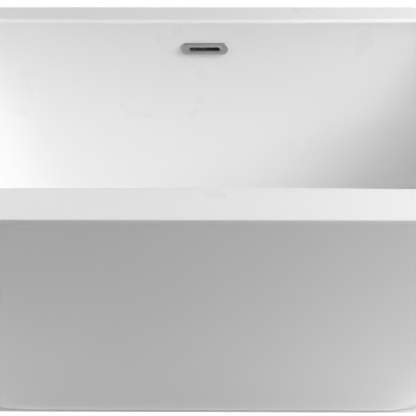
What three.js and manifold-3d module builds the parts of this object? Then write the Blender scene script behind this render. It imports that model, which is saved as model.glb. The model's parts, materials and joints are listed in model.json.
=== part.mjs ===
// A freestanding acrylic bathtub, 1700 x 750 x 590 mm, in millimetres with +Z up.
// Its origin is on the floor under the middle of the tub. +X runs along the tub, and +Y to the side
// with the overflow. Two moulded shells meet under a wide flat rim, over a steel frame with feet.

import * as THREE from 'three';
import { mergeVertices } from 'three/addons/utils/BufferGeometryUtils.js';
import Module from 'manifold-3d';

// ---------------------------------------------------------------- driving dimensions

const LENGTH = 1700, WIDTH = 750, HEIGHT = 590;
const RIM_WIDTH = 74;                // flat rim, from its outer edge to the start of the lip
const LIP = 8;                       // radius of the rounded lip between the rim and the bath wall
const RIM_EDGE = 2.5;                // radius of the rim's outer edge
const RIM_WAIST = 5;                 // how far the long sides of the opening bow inwards
const DECK = 8;                      // thickness of the rim
const ACRYLIC = 5, FIBREGLASS = 4, SKIRT_BACKING = 3;
const GAP = 0.3;                     // between pieces that touch

const WALL_DEPTH = 390;              // from the rim down to where the bath wall starts to round
const FLOOR_DEPTH = 405;             // from the rim down to the edge of the bath floor
const FLOOR_FALL = 10;               // from the edge of the floor to the drain
const END_RISE = 25;                 // how much the floor would rise towards each end, at the rim's length
const WALL_EASE = 1.2;               // above 1 the wall starts steep and then leans in

const SKIRT_BOTTOM = 3;              // the skirt ends just above the floor
const SKIRT_EDGE = 4;                // radius of its lower edge
const SKIRT_FLANGE = 24;             // its inward flanges, under the rim and at the bottom

const DRAIN_Y = 50;
const OVERFLOW_DEPTH = 62;           // from the rim down to the middle of the overflow
const OVERFLOW_BAND = 30;            // height of the flat band that it sits on

// A plan is the outline of the tub at one height: half its length, half its width, and the length
// of each rounded end, which is half an ellipse.
const RIM_PLAN = { a: LENGTH / 2, b: WIDTH / 2, end: WIDTH / 2 };
const OPENING_PLAN = grow(RIM_PLAN, -RIM_WIDTH);
const WALL_FOOT_PLAN = { a: 640, b: 193, end: 290 };
const FLOOR_PLAN = { a: 618, b: 173, end: 268 };
const BED_PLAN = { a: 450, b: 162, end: 130 };       // flat resin bed over the base board
const BASE_PLAN = { a: 700, b: 315, end: 330 };

const END_STEPS = 16, SIDE_STEPS = 6;        // facets round each end and along each side
const RING_POINTS = 2 * (END_STEPS + SIDE_STEPS);
const BEND_STEPS = 4;                        // levels round from the bath wall into its floor
const ROUND_STEPS = 20;                      // facets round a turned piece
const CHAMFER = 0.3;                         // share of a radius cut off halfway round it

// ---------------------------------------------------------------- materials

const material = (color, roughness, metalness = 0) =>
  new THREE.MeshStandardMaterial({ color, roughness, metalness });
const acrylic = () => material(0xf2f2f2, 0.16);
const fibreglass = () => material(0xcfd3b8, 0.7);
const plywood = () => material(0xb98f5f, 0.8);
const galvanized = () => material(0x9ea3a6, 0.45, 0.9);
const zincSteel = () => material(0xb4b6b8, 0.35, 0.95);
const brushedMetal = () => material(0x919191, 0.3, 1);
const brass = () => material(0xb08d4a, 0.35, 1);
const blackRubber = () => material(0x1c1c1c, 0.85);
const greyPlastic = () => material(0xb9bcbc, 0.5);

// ---------------------------------------------------------------- solids

const wasm = await Module();
wasm.setup();

function solidOf(geometry) {
  const bare = geometry.clone();
  bare.deleteAttribute('normal');
  bare.deleteAttribute('uv');
  const merged = mergeVertices(bare, 1e-4);
  return new wasm.Manifold(new wasm.Mesh({
    numProp: 3,
    vertProperties: merged.attributes.position.array,
    triVerts: new Uint32Array(merged.index.array),
  }));
}

function geometryOf(solid) {
  const mesh = solid.getMesh();
  const geometry = new THREE.BufferGeometry();
  geometry.setAttribute('position', new THREE.BufferAttribute(mesh.vertProperties, 3));
  geometry.setIndex(new THREE.BufferAttribute(mesh.triVerts, 1));
  geometry.computeVertexNormals();
  return geometry;
}

const join = (...geometries) => geometryOf(geometries.map(solidOf).reduce((a, b) => a.add(b)));
const cut = (geometry, ...tools) =>
  geometryOf(tools.map(solidOf).reduce((a, b) => a.subtract(b), solidOf(geometry)));

function part(name, geometry, look, position = [0, 0, 0]) {
  const mesh = new THREE.Mesh(geometry, look);
  mesh.name = name;
  mesh.position.set(...position);
  return mesh;
}

function group(position, ...parts) {
  const made = new THREE.Group();
  made.position.set(...position);
  made.add(...parts);
  return made;
}

// ---------------------------------------------------------------- plans, rings and lofts

function grow(plan, by) {
  return { a: plan.a + by, b: plan.b + by, end: plan.end + by };
}

function mix(plan, other, t) {
  const between = (key) => plan[key] + (other[key] - plan[key]) * t;
  return { a: between('a'), b: between('b'), end: between('end') };
}

// A plan's points at one height, counter-clockwise. waist bows the long sides in by that much, and
// rise lifts the ends.
function ring(plan, z, waist = 0, rise = 0) {
  const run = plan.a - plan.end;
  const points = [];
  const lifted = (x, y) => points.push([x, y, z + rise * (x / OPENING_PLAN.a) ** 2]);
  for (const side of [1, -1]) {
    for (let i = 0; i < END_STEPS; i++) {
      const angle = Math.PI * (i / END_STEPS - 0.5);
      lifted(side * (run + plan.end * Math.cos(angle)), side * plan.b * Math.sin(angle));
    }
    for (let i = 0; i < SIDE_STEPS; i++) {
      const along = 1 - 2 * i / SIDE_STEPS;
      lifted(side * run * along, side * (plan.b - waist * (1 - along * along)));
    }
  }
  return points;
}

// A circle about the drain with the same number of points as a ring.
function drainRing(radius, z) {
  const first = -Math.PI * END_STEPS / RING_POINTS;
  return Array.from({ length: RING_POINTS }, (_, i) => {
    const angle = first + 2 * Math.PI * i / RING_POINTS;
    return [radius * Math.cos(angle), DRAIN_Y + radius * Math.sin(angle), z];
  });
}

const mixRings = (from, to, t) =>
  from.map((point, i) => point.map((value, k) => value + (to[i][k] - value) * t));

// Joins rings into one closed shell. Seen in section, with the tub's middle on the left, the rings
// run counter-clockwise, and the last ring joins the first. Each facet is split from its lower ring's
// point to its upper ring's next one, so that nested shells are split alike and keep their gap.
function loft(rings) {
  const index = [];
  const vertex = (k, i) => (k % rings.length) * RING_POINTS + (i % RING_POINTS);
  for (let k = 0; k < rings.length; k++) {
    for (let i = 0; i < RING_POINTS; i++) {
      const here = vertex(k, i), next = vertex(k, i + 1);
      const above = vertex(k + 1, i), aboveNext = vertex(k + 1, i + 1);
      const rising = rings[k][i][2] <= rings[(k + 1) % rings.length][i][2];
      if (rising) index.push(here, next, aboveNext, here, aboveNext, above);
      else index.push(here, next, above, next, aboveNext, above);
    }
  }
  const geometry = new THREE.BufferGeometry();
  geometry.setAttribute('position', new THREE.Float32BufferAttribute(rings.flat(2), 3));
  geometry.setIndex(index);
  geometry.computeVertexNormals();
  return geometry;
}

// ---------------------------------------------------------------- common shapes

// Turns a profile of [radius, z] points about Z. It closes on itself, or starts and ends on the axis.
function turned(profile, steps = ROUND_STEPS) {
  const closed = profile[0][0] > 0 ? [...profile, profile[0]] : profile;
  const points = closed.map(([r, z]) => new THREE.Vector2(r, z));
  const geometry = new THREE.LatheGeometry(points, steps);
  geometry.rotateX(Math.PI / 2);
  return geometry;
}

const rod = (radius, low, high, steps = ROUND_STEPS) =>
  turned([[0, low], [radius, low], [radius, high], [0, high]], steps);

const washer = (inner, outer, low, high, steps = ROUND_STEPS) =>
  turned([[inner, low], [outer, low], [outer, high], [inner, high]], steps);

function hexNut(across, bore, low, high) {
  const corner = across / Math.sqrt(3);
  return cut(rod(corner, low, high, 6), rod(bore, low - 1, high + 1, 12));
}

function box(size, centre) {
  const geometry = new THREE.BoxGeometry(...size);
  geometry.translate(...centre);
  return geometry;
}

// A slot outline with round ends, lying along X.
function slotShape(width, height, steps = 8) {
  const radius = height / 2;
  const run = (width - height) / 2;
  const shape = new THREE.Shape();
  for (const side of [1, -1]) {
    for (let i = 0; i <= steps; i++) {
      const angle = Math.PI * (i / steps - 0.5);
      const x = side * (run + radius * Math.cos(angle));
      const y = side * radius * Math.sin(angle);
      if (side === 1 && i === 0) shape.moveTo(x, y);
      else shape.lineTo(x, y);
    }
  }
  shape.closePath();
  return shape;
}

// A slot-shaped block in the overflow's own frame: X along the tub, Y into the wall, Z up the wall.
function slotBlock(width, height, front, back) {
  const geometry = new THREE.ExtrudeGeometry(slotShape(width, height), {
    depth: back - front, bevelEnabled: false,
  });
  geometry.rotateX(Math.PI / 2);
  geometry.translate(0, back, 0);
  return geometry;
}

// ---------------------------------------------------------------- bath walls

// One level of the bath's inner face, where t runs from 0 under the lip to 1 at the foot of the wall.
// turn goes from 0 on the wall to a right angle on the floor: it says which way the thickness lies.
const wallLevel = (t) => ({
  plan: mix(OPENING_PLAN, WALL_FOOT_PLAN, t ** WALL_EASE),
  z: HEIGHT - LIP - t * (WALL_DEPTH - LIP),
  waist: RIM_WAIST * (1 - t),
  rise: END_RISE * t * t,
  turn: 0,
});

// The overflow sits on a flat band of the rear wall, between two of the levels.
const OVERFLOW_Z = HEIGHT - OVERFLOW_DEPTH;
const shareAt = (z) => (HEIGHT - LIP - z) / (WALL_DEPTH - LIP);
const BAND_TOP = wallLevel(shareAt(OVERFLOW_Z + OVERFLOW_BAND / 2));
const BAND_FOOT = wallLevel(shareAt(OVERFLOW_Z - OVERFLOW_BAND / 2));
const sideOf = (level) => level.plan.b - level.waist;
const OVERFLOW_Y = (sideOf(BAND_TOP) + sideOf(BAND_FOOT)) / 2;
const OVERFLOW_LEAN = Math.atan((sideOf(BAND_TOP) - sideOf(BAND_FOOT)) / OVERFLOW_BAND);

// The levels of the bath's inner face from the lip down to the floor's edge.
function wallLevels() {
  const levels = [wallLevel(0), BAND_TOP, BAND_FOOT, wallLevel(0.48), wallLevel(0.74), wallLevel(1)];
  const beyond = WALL_EASE * (FLOOR_DEPTH - WALL_DEPTH) / WALL_DEPTH;
  const corner = mix(OPENING_PLAN, WALL_FOOT_PLAN, 1 + beyond);
  for (let i = 1; i <= BEND_STEPS; i++) {
    const t = i / BEND_STEPS;
    levels.push({
      plan: mix(mix(WALL_FOOT_PLAN, corner, t), mix(corner, FLOOR_PLAN, t), t),
      z: HEIGHT - WALL_DEPTH - (FLOOR_DEPTH - WALL_DEPTH) * (1 - (1 - t) ** 2),
      waist: 0,
      rise: END_RISE,
      turn: t * Math.PI / 2,
    });
  }
  return levels;
}

const levelRing = ({ plan, z, waist, rise, turn }, offset = 0) =>
  ring(grow(plan, offset * Math.cos(turn)), z - offset * Math.sin(turn), waist, rise);

const FLOOR_Z = HEIGHT - FLOOR_DEPTH;
const DRAIN_Z = FLOOR_Z - FLOOR_FALL;        // bath floor at the drain
const RECESS_DEPTH = 3, RECESS_RADIUS = 37, HOLE_RADIUS = 27;
const SEAT_Z = DRAIN_Z - RECESS_DEPTH;       // bottom of the drain's recess
const BACKING_Z = SEAT_Z - ACRYLIC - GAP - FIBREGLASS;

function basinGeometry() {
  const levels = wallLevels();
  const under = levels.map((level) => levelRing(level, ACRYLIC)).reverse();
  const inside = levels.map((level) => levelRing(level));
  const lip = [1, 0.6, 0.3].map((share) => ring(
    grow(OPENING_PLAN, LIP * (1 - Math.cos(share * Math.PI / 2))),
    HEIGHT - LIP + LIP * Math.sin(share * Math.PI / 2), RIM_WAIST));
  const recess = drainRing(RECESS_RADIUS, DRAIN_Z);
  const floorEdge = inside.at(-1);
  under.pop();
  return loft([
    drainRing(HOLE_RADIUS, SEAT_Z - ACRYLIC),
    drainRing(RECESS_RADIUS + ACRYLIC, SEAT_Z - ACRYLIC),
    ...under,
    ring(grow(OPENING_PLAN, ACRYLIC), HEIGHT - DECK, RIM_WAIST),
    ring(RIM_PLAN, HEIGHT - DECK),
    ring(RIM_PLAN, HEIGHT - RIM_EDGE),
    ring(grow(RIM_PLAN, -RIM_EDGE * CHAMFER), HEIGHT - RIM_EDGE * CHAMFER),
    ring(grow(RIM_PLAN, -RIM_EDGE), HEIGHT),
    ...lip,
    ...inside,
    mixRings(floorEdge, recess, 0.6),
    recess,
    drainRing(RECESS_RADIUS - 1, SEAT_Z),
    drainRing(HOLE_RADIUS, SEAT_Z),
  ]);
}

// Resin and glass fibre under the whole bath, with a flat underside for the base board.
function basinBackingGeometry() {
  const levels = wallLevels();
  const inner = ACRYLIC + GAP, outer = inner + FIBREGLASS;
  const top = HEIGHT - DECK - GAP;
  const under = levels.map((level) => levelRing(level, outer)).reverse();
  const inside = levels.map((level) => levelRing(level, inner));
  under[under.length - 1] = ring(grow(OPENING_PLAN, outer), top, RIM_WAIST);
  inside[0] = ring(grow(OPENING_PLAN, inner), top, RIM_WAIST);
  return loft([
    drainRing(HOLE_RADIUS, BACKING_Z),
    ring(BED_PLAN, BACKING_Z),
    ...under,
    ...inside,
    drainRing(RECESS_RADIUS + inner, SEAT_Z - inner),
    drainRing(HOLE_RADIUS, SEAT_Z - inner),
  ]);
}

// ---------------------------------------------------------------- skirt

const SKIRT_TOP = HEIGHT - DECK - GAP;
const skirtPlan = (z, inset = 0) =>
  grow(mix(BASE_PLAN, RIM_PLAN, (z - SKIRT_BOTTOM) / (HEIGHT - SKIRT_BOTTOM)), -inset);
const skirtRing = (z, inset = 0) => ring(skirtPlan(z, inset), z);
const SKIRT_MIDDLE = (SKIRT_BOTTOM + SKIRT_TOP) / 2;

function skirtGeometry() {
  const low = SKIRT_BOTTOM, high = SKIRT_TOP;
  return loft([
    skirtRing(low, SKIRT_EDGE),
    skirtRing(low + SKIRT_EDGE * CHAMFER, SKIRT_EDGE * CHAMFER),
    skirtRing(low + SKIRT_EDGE),
    skirtRing(SKIRT_MIDDLE),
    skirtRing(high),
    skirtRing(high, SKIRT_FLANGE),
    skirtRing(high - ACRYLIC, SKIRT_FLANGE),
    skirtRing(high - ACRYLIC, ACRYLIC),
    skirtRing(SKIRT_MIDDLE, ACRYLIC),
    skirtRing(low + ACRYLIC, ACRYLIC),
    skirtRing(low + ACRYLIC, SKIRT_FLANGE),
    skirtRing(low, SKIRT_FLANGE),
  ]);
}

function skirtBackingGeometry() {
  const low = SKIRT_BOTTOM + ACRYLIC + GAP, high = SKIRT_TOP - ACRYLIC - GAP;
  const outer = ACRYLIC + GAP, inner = outer + SKIRT_BACKING;
  return loft([
    skirtRing(low, outer), skirtRing(SKIRT_MIDDLE, outer), skirtRing(high, outer),
    skirtRing(high, inner), skirtRing(SKIRT_MIDDLE, inner), skirtRing(low, inner),
  ]);
}

// ---------------------------------------------------------------- frame and feet

const BOARD = { length: 860, width: 300, thick: 18, corner: 110, drainHole: 58 };
const BOARD_TOP = BACKING_Z - GAP;
const BOARD_BOTTOM = BOARD_TOP - BOARD.thick;
const RAIL = { length: 780, size: 30, wall: 2, y: 125 };
const RAIL_TOP = BOARD_BOTTOM - GAP;
const RAIL_BOTTOM = RAIL_TOP - RAIL.size;
const CHANNEL = { x: 350, length: 570, width: 40, height: 30, wall: 3 };
const CHANNEL_TOP = RAIL_BOTTOM - GAP;
const CHANNEL_WEB = CHANNEL_TOP - CHANNEL.wall;
const SCREW = { x: 200, shank: 2.5, hole: 2.8, head: 5, headHeight: 3, depth: 13 };
const BOLT = { shank: 4, hole: 4.4, across: 13, head: 5.5, end: 10 };
const FOOT = { y: 235, stem: 6, hole: 6.5, pad: 22, neck: 11, padHeight: 14, socket: 4, top: 14 };
const FOOT_HEXAGON = { across: 17, low: 18, high: 26 };
const LOCK_NUT = { across: 18, height: 8, clearance: 0.35 };

function boardGeometry() {
  const { length, width, thick, corner, drainHole } = BOARD;
  const x = length / 2, y = width / 2;
  const shape = new THREE.Shape();
  shape.moveTo(-x + corner, -y);
  shape.lineTo(x - corner, -y);
  shape.absarc(x - corner, -y + corner, corner, -Math.PI / 2, 0);
  shape.absarc(x - corner, y - corner, corner, 0, Math.PI / 2);
  shape.absarc(-x + corner, y - corner, corner, Math.PI / 2, Math.PI);
  shape.absarc(-x + corner, -y + corner, corner, Math.PI, 1.5 * Math.PI);
  shape.holes.push(new THREE.Path().absarc(0, DRAIN_Y, drainHole, 0, 2 * Math.PI));
  const board = new THREE.ExtrudeGeometry(shape, { depth: thick, bevelEnabled: false, curveSegments: 6 });
  board.translate(0, 0, BOARD_BOTTOM);
  const holes = corners(SCREW.x, RAIL.y).map(([sx, sy]) =>
    rod(SCREW.hole, BOARD_BOTTOM - 1, BOARD_BOTTOM + SCREW.depth + 1, 8).translate(sx, sy, 0));
  return cut(board, ...holes);
}

// The four places at plus and minus x and y, in the order front left, front right, rear left, rear right.
function corners(x, y) {
  return [[-x, -y], [x, -y], [-x, y], [x, y]];
}
const CORNER_NAMES = ['front_left', 'front_right', 'rear_left', 'rear_right'];

function railGeometry() {
  const { length, size, wall } = RAIL;
  const middle = RAIL_TOP - size / 2;
  const tube = box([length, size, size], [0, 0, middle]);
  const bore = box([length + 2, size - 2 * wall, size - 2 * wall], [0, 0, middle]);
  const screwHoles = [-SCREW.x, SCREW.x].map((x) =>
    rod(SCREW.hole, RAIL_BOTTOM - 1, RAIL_TOP + 1, 8).translate(x, 0, 0));
  const boltHoles = [-CHANNEL.x, CHANNEL.x].map((x) =>
    rod(BOLT.hole, RAIL_BOTTOM - 1, RAIL_BOTTOM + wall + 1, 10).translate(x, 0, 0));
  return cut(tube, bore, ...screwHoles, ...boltHoles);
}

function channelGeometry() {
  const { length, width, height, wall } = CHANNEL;
  const outer = box([width, length, height], [0, 0, CHANNEL_TOP - height / 2]);
  const inner = box([width - 2 * wall, length + 2, height], [0, 0, CHANNEL_WEB - height / 2]);
  const holes = [];
  for (const side of [1, -1]) {
    holes.push(rod(BOLT.hole, CHANNEL_WEB - 1, CHANNEL_TOP + 1, 10).translate(0, side * RAIL.y, 0));
    holes.push(rod(FOOT.hole, CHANNEL_WEB - 1, CHANNEL_TOP + 1, 16).translate(0, side * FOOT.y, 0));
  }
  return cut(outer, inner, ...holes);
}

// Holds the skirt to the end of a cross channel. Its upright leg stands against the skirt's backing.
function bracketGeometry(side) {
  const wide = 36, thick = 3, tall = 40, reach = 55;
  const face = skirtPlan(CHANNEL_TOP).b - ACRYLIC - SKIRT_BACKING - 3 * GAP;
  const low = CHANNEL_TOP + GAP;
  const flat = box([wide, reach, thick], [0, side * (face - reach / 2), low + thick / 2]);
  const upright = box([wide, thick, tall], [0, side * (face - thick / 2), low + tall / 2]);
  return join(flat, upright);
}

const railScrewGeometry = () => turned([
  [0, RAIL_BOTTOM - GAP - SCREW.headHeight], [SCREW.head * 0.6, RAIL_BOTTOM - GAP - SCREW.headHeight],
  [SCREW.head, RAIL_BOTTOM - GAP - 1], [SCREW.head, RAIL_BOTTOM - GAP],
  [SCREW.shank, RAIL_BOTTOM - GAP], [SCREW.shank, BOARD_BOTTOM + SCREW.depth - 4],
  [0, BOARD_BOTTOM + SCREW.depth],
], 8);

const channelBoltGeometry = () => {
  const under = CHANNEL_WEB - GAP;
  return join(
    rod(BOLT.across / Math.sqrt(3), under - BOLT.head, under, 6),
    rod(BOLT.shank, under - 1, RAIL_BOTTOM + BOLT.end, 10));
};

const footPadGeometry = () => turned([
  [0, 0], [FOOT.pad - 1, 0], [FOOT.pad, 1], [FOOT.pad, FOOT.socket], [FOOT.neck + 1, FOOT.padHeight - 2],
  [FOOT.neck, FOOT.padHeight], [FOOT.stem + 1, FOOT.padHeight], [FOOT.stem + 1, FOOT.socket],
  [0, FOOT.socket],
]);

// A threaded stem with a turning hexagon near its foot.
function footStemGeometry() {
  const low = FOOT.socket + 0.5, high = CHANNEL_TOP + FOOT.top, tip = FOOT.stem / 2;
  const stem = turned([[0, low], [tip, low], [FOOT.stem, low + 2.5], [FOOT.stem, high - 1],
    [FOOT.stem - 1, high], [0, high]], 12);
  return join(stem, rod(FOOT_HEXAGON.across / Math.sqrt(3), FOOT_HEXAGON.low, FOOT_HEXAGON.high, 6));
}

function lockNutGeometry() {
  const under = CHANNEL_WEB - GAP;
  return hexNut(LOCK_NUT.across, FOOT.stem + LOCK_NUT.clearance, under - LOCK_NUT.height, under);
}

function frame() {
  const made = [
    part('base_board', boardGeometry(), plywood()),
    part('frame_rail_front', railGeometry(), galvanized(), [0, -RAIL.y, 0]),
    part('frame_rail_rear', railGeometry(), galvanized(), [0, RAIL.y, 0]),
    part('cross_channel_left', channelGeometry(), galvanized(), [-CHANNEL.x, 0, 0]),
    part('cross_channel_right', channelGeometry(), galvanized(), [CHANNEL.x, 0, 0]),
  ];
  const each = (x, y, make) =>
    corners(x, y).forEach(([px, py], i) => make(CORNER_NAMES[i], [px, py, 0]));
  each(SCREW.x, RAIL.y, (name, at) =>
    made.push(part(`rail_screw_${name}`, railScrewGeometry(), zincSteel(), at)));
  each(CHANNEL.x, RAIL.y, (name, at) =>
    made.push(part(`channel_bolt_${name}`, channelBoltGeometry(), zincSteel(), at)));
  corners(CHANNEL.x, 1).forEach(([x, side], i) =>
    made.push(part(`skirt_bracket_${CORNER_NAMES[i]}`, bracketGeometry(side), galvanized(), [x, 0, 0])));
  each(CHANNEL.x, FOOT.y, (name, at) => {
    made.push(
      part(`foot_pad_${name}`, footPadGeometry(), blackRubber(), at),
      part(`foot_stem_${name}`, footStemGeometry(), zincSteel(), at),
      part(`foot_lock_nut_${name}`, lockNutGeometry(), zincSteel(), at));
  });
  return made;
}

// ---------------------------------------------------------------- overflow

// The overflow sits square on the sloping rear wall, in a frame of its own: X along the tub, Y into
// the wall from its face, Z up the wall.
const COVER = { width: 108, height: 26, proud: 6, face: 1.8, edge: 3, bevel: 0.9 };
const SLOT = { width: 70, height: 7.8 };
const WALL_SLOT = { width: 94, height: 15 };
const FACEPLATE = { width: 98, height: 17, thick: 2, screwX: 42.5, hole: 2.3 };
const OVERFLOW_SCREW = { head: 3.6, headThick: 1.2, shank: 2, bite: 10 };
const WALL_BACK = ACRYLIC + FIBREGLASS + 2 * GAP;     // behind the wall and its backing
const HOUSING = { width: 104, height: 25, wall: 3, front: WALL_BACK + 2.5, back: 52 };
const SPIGOT = { outer: 17, bore: 14.5, y: 33, end: 46 };
const HOSE = { outer: 14, inner: 11.5, inserted: 14 };
const UNION_LIP = 4;                                  // the end wall of a union nut

const onWall = (geometry) => geometry.rotateX(-OVERFLOW_LEAN).translate(0, OVERFLOW_Y, OVERFLOW_Z);
const wallHole = () => slotBlock(WALL_SLOT.width, WALL_SLOT.height, -20, 30);
const acrossWall = (radius, front, back, x, steps = 12) =>
  rod(radius, front, back, steps).rotateX(-Math.PI / 2).translate(x, 0, 0);

function overflowCoverGeometry() {
  const { width, height, proud, face, edge, bevel } = COVER;
  const shape = slotShape(width - 2 * bevel, height - 2 * bevel);
  const block = new THREE.ExtrudeGeometry(shape, {
    depth: proud - 2 * bevel, bevelThickness: bevel, bevelSize: bevel, bevelSegments: 2,
  });
  block.rotateX(Math.PI / 2);
  block.translate(0, -bevel, 0);
  const level = slotBlock(width + 2, height + 2, -bevel, 1);
  const pocket = slotBlock(width - 2 * edge, height - 2 * edge, face - proud, 1);
  const slot = slotBlock(SLOT.width, SLOT.height, -proud - 1, 1);
  return cut(block, level, pocket, slot);
}

const faceplateGeometry = () => cut(
  slotBlock(FACEPLATE.width, FACEPLATE.height, -GAP - FACEPLATE.thick, -GAP),
  slotBlock(SLOT.width, SLOT.height, -5, 1),
  ...[-1, 1].map((side) => acrossWall(FACEPLATE.hole, -5, 1, side * FACEPLATE.screwX)));

function overflowScrewGeometry() {
  const under = -2 * GAP - FACEPLATE.thick;
  const { head, headThick, shank, bite } = OVERFLOW_SCREW;
  return join(acrossWall(head, under - headThick, under, 0, 10),
    acrossWall(shank, under - headThick / 2, HOUSING.front + bite, 0, 8));
}

const overflowGasketGeometry = () => cut(
  slotBlock(HOUSING.width, HOUSING.height, WALL_BACK, HOUSING.front - GAP), wallHole());

function overflowHousingGeometry() {
  const { width, height, wall, front, back } = HOUSING;
  const body = join(slotBlock(width, height, front, back),
    rod(SPIGOT.outer, -SPIGOT.end, -4, 16).translate(0, SPIGOT.y, 0));
  const chamber = slotBlock(SLOT.width + 2, height - 3 * wall, front - 1, back - wall);
  const bore = rod(SPIGOT.bore, -SPIGOT.end - 1, 0, 16).translate(0, SPIGOT.y, 0);
  const screws = [-1, 1].map((side) =>
    acrossWall(FACEPLATE.hole, front - 1, front + OVERFLOW_SCREW.bite + 2, side * FACEPLATE.screwX, 8));
  return cut(body, chamber, bore, ...screws);
}

// A union nut over the end of a spigot, with a hole for the tube that goes in. It opens towards +Z.
const unionNutGeometry = (spigot, tube, height = 18) => turned([
  [tube + GAP, 0], [spigot + 4, 0], [spigot + 5, 1], [spigot + 5, height], [spigot + GAP, height],
  [spigot + GAP, UNION_LIP], [tube + GAP, UNION_LIP],
], 24);

// Takes a point from the overflow's frame to the tub's.
function fromOverflow(y, z) {
  const cos = Math.cos(OVERFLOW_LEAN), sin = Math.sin(OVERFLOW_LEAN);
  return new THREE.Vector3(0, OVERFLOW_Y + y * cos + z * sin, OVERFLOW_Z - y * sin + z * cos);
}

// The hose runs down behind the bath, turns under the rear rail and enters the drain body.
function hoseGeometry() {
  const straight = 280, turn = 62;
  const top = fromOverflow(SPIGOT.y, HOSE.inserted - SPIGOT.end);
  const down = fromOverflow(SPIGOT.y, -SPIGOT.end - straight);
  const corner = new THREE.Vector3(
    0, down.y - (down.z - TEE.inletZ) * Math.tan(OVERFLOW_LEAN), TEE.inletZ);
  const level = new THREE.Vector3(0, corner.y - turn, TEE.inletZ);
  const end = new THREE.Vector3(0, DRAIN_Y + TEE.inletEnd - HOSE.inserted, TEE.inletZ);
  const path = new THREE.CurvePath();
  path.add(new THREE.LineCurve3(top, down));
  path.add(new THREE.QuadraticBezierCurve3(down, corner, level));
  path.add(new THREE.LineCurve3(level, end));
  const shape = new THREE.Shape().absarc(0, 0, HOSE.outer, 0, 2 * Math.PI);
  shape.holes.push(new THREE.Path().absarc(0, 0, HOSE.inner, 0, 2 * Math.PI));
  return new THREE.ExtrudeGeometry(shape, { steps: 18, curveSegments: 5, extrudePath: path });
}

function overflow() {
  const fittings = group([0, OVERFLOW_Y, OVERFLOW_Z],
    part('overflow_cover', overflowCoverGeometry(), brushedMetal(), [0, -GAP, 0]),
    part('overflow_faceplate', faceplateGeometry(), zincSteel()),
    part('overflow_screw_left', overflowScrewGeometry(), zincSteel(), [-FACEPLATE.screwX, 0, 0]),
    part('overflow_screw_right', overflowScrewGeometry(), zincSteel(), [FACEPLATE.screwX, 0, 0]),
    part('overflow_gasket', overflowGasketGeometry(), blackRubber()),
    part('overflow_housing', overflowHousingGeometry(), greyPlastic()),
    part('overflow_union_nut', unionNutGeometry(SPIGOT.outer, HOSE.outer), greyPlastic(),
      [0, SPIGOT.y, -SPIGOT.end - UNION_LIP - GAP]));
  fittings.rotation.x = -OVERFLOW_LEAN;
  return [fittings, part('overflow_hose', hoseGeometry(), greyPlastic())];
}

// ---------------------------------------------------------------- drain and stopper

// The turned pieces here stand on the drain's own axis, and keep the tub's heights.
const SEAL = { inner: 25.6, outer: 34, thick: 1.5 };
const FLANGE_Z = SEAT_Z + GAP + SEAL.thick + GAP;
const FLANGE = { radius: 35, bore: 22, tube: 25, end: 122, seat: 29, top: FLANGE_Z + 2.4 };
const CROSS = { low: 143, high: 147, boss: 8, pin: 3, pinTop: 151, bar: 4 };
const WASHER_THICK = 2.5;
const TEE = {
  flange: 38, flangeThick: 4, top: BACKING_Z - 2 * GAP - WASHER_THICK, body: 30, chamber: 21.5,
  chamberTop: 140, bottom: 72, floor: 76, low: 54, outlet: 26, outletBore: 20.5,
  inletZ: 90, inletEnd: 58,
};
const TAIL = { outer: 20, inner: 17.5, low: 25, high: 68 };
const STOPPER = { radius: 30, hub: 17, hubZ: FLANGE.top - 7, lift: 9 };
const BARREL = { low: CROSS.high + GAP, floor: 153.5, high: 168.5, outer: 9, inner: 7.4, mouth: 4.4 };
const PLUNGER = { radius: 4, head: 6.8, low: 156.2, thick: 1.4 };
const SPRING = { radius: 5.6, wire: 0.25, turns: 4, sides: 5 };

// The flange and its threaded tube, with a cross inside that carries the stopper's cartridge.
function drainFlangeGeometry() {
  const { radius, bore, tube, end, seat, top } = FLANGE;
  const shell = turned([
    [bore, end], [tube, end], [tube, FLANGE_Z], [radius, FLANGE_Z], [radius, top - 1],
    [radius - 1, top], [seat, top], [bore, FLANGE_Z - 1.5],
  ], 24);
  const span = 2 * bore + 2, middle = (CROSS.low + CROSS.high) / 2, thick = CROSS.high - CROSS.low;
  return join(shell, box([span, CROSS.bar, thick], [0, 0, middle]),
    box([CROSS.bar, span, thick], [0, 0, middle]),
    rod(CROSS.boss, CROSS.low, CROSS.high, 16), rod(CROSS.pin, CROSS.low + 1, CROSS.pinTop, 12));
}

function drainBodyGeometry() {
  const inlet = (radius, to) =>
    rod(radius, 0, to, 16).rotateX(-Math.PI / 2).translate(0, 0, TEE.inletZ);
  const outside = join(rod(TEE.flange, TEE.top - TEE.flangeThick, TEE.top, 24),
    rod(TEE.body, TEE.bottom, TEE.top - 1, 24), rod(TEE.outlet, TEE.low, TEE.bottom + 1, 24),
    inlet(SPIGOT.outer, TEE.inletEnd));
  return cut(outside,
    rod(FLANGE.tube + GAP, FLANGE.end - 1, TEE.top + 1, 24), rod(TEE.chamber, TEE.floor, TEE.chamberTop, 24),
    rod(TEE.outletBore, TEE.low - 1, TEE.floor + 1, 24), inlet(SPIGOT.bore, TEE.inletEnd + 1));
}

const stopperCapGeometry = () => turned([
  [0, STOPPER.hubZ], [STOPPER.hub, STOPPER.hubZ], [STOPPER.hub, FLANGE.top + 0.8],
  [STOPPER.radius - 1, FLANGE.top + 0.8], [STOPPER.radius, FLANGE.top + 1.6],
  [STOPPER.radius - 1, FLANGE.top + 3], [STOPPER.radius * 0.6, FLANGE.top + 4.2],
  [0, FLANGE.top + 4.8],
], 24);

const stopperSealGeometry = () => turned([
  [STOPPER.hub + GAP, FLANGE.top - 3], [STOPPER.hub + 4, FLANGE.top - 2.2],
  [STOPPER.hub + 7, FLANGE.top - 0.2], [STOPPER.hub + 7, FLANGE.top + 0.5],
  [STOPPER.hub + GAP, FLANGE.top + 0.5],
]);

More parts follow.
